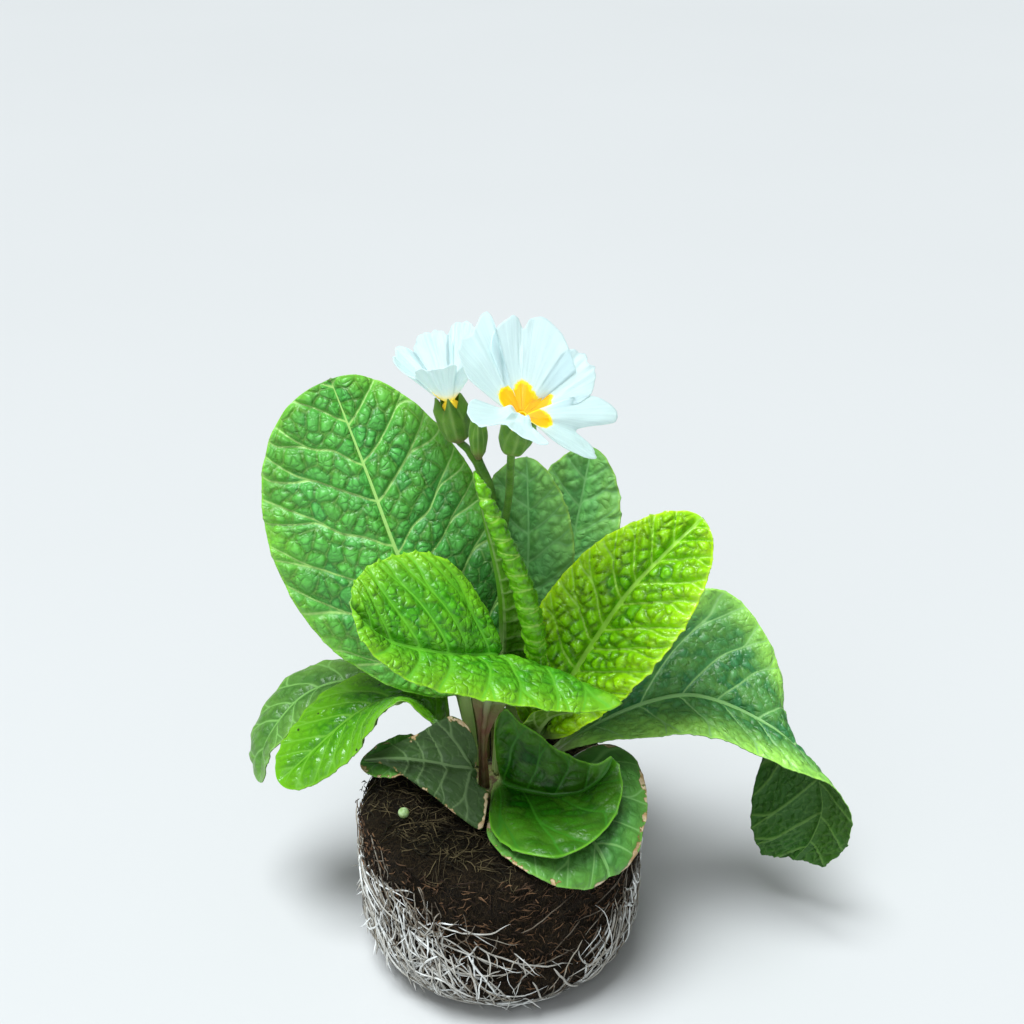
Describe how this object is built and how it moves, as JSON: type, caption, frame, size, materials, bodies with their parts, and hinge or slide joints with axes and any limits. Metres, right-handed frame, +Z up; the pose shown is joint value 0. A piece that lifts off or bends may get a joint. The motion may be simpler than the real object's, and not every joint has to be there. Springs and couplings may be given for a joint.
{
  "type": "primrose plant on a bare root ball",
  "caption": "Flowering primrose lifted from its pot: a rosette of wrinkled leaves with white flowers on a root ball that stands on its flat foot.",
  "frame": {"origin": "middle of the root ball's flat foot", "axes": "+Z up along the root ball's axis, +Y towards the rosette's back, +X towards the long drooping leaf"},
  "size_m": [0.1957, 0.1221, 0.2137],
  "materials": {
    "peat": "damp brown peat with pale fibres",
    "root": "matt white to buff roots",
    "prill": "matt pale green coating",
    "crown": "fleshy green and brown leaf bases",
    "grown_leaf": "satin, wrinkled between a net of sunken veins",
    "young_leaf": "satin, puckered, yellow green",
    "old_leaf": "satin dark green with tan edges",
    "stem": "downy pale green",
    "petal": "soft matt white with an orange eye",
    "pistil": "matt yellow green"
  },
  "bodies": {
    "root": {"root_ball": "peat", "root_mat": "root", "crown": "crown", "fertiliser_prill": "prill", "leaf_back_left": "grown_leaf", "leaf_front_arching": "grown_leaf", "leaf_young_curled": "young_leaf", "leaf_right_bright": "young_leaf", "leaf_back_dark": "grown_leaf", "leaf_back_right": "grown_leaf", "leaf_right_drooping": "grown_leaf", "leaf_left_low": "young_leaf", "leaf_left_arching": "old_leaf", "leaf_turned_over": "old_leaf", "leaf_left_old": "old_leaf", "leaf_front_cupped": "grown_leaf", "leaf_front_old": "old_leaf", "leaf_front_small": "young_leaf", "leaf_rear_left": "grown_leaf", "leaf_rear_right": "grown_leaf", "corolla_main_flower": "petal", "calyx_main_flower": "stem", "pistil_main_flower": "pistil", "stem_main_flower": "stem", "corolla_left_flower": "petal", "calyx_left_flower": "stem", "pistil_left_flower": "pistil", "stem_left_flower": "stem", "bud": "stem", "stem_bud": "stem"}
  },
  "joints": []
}
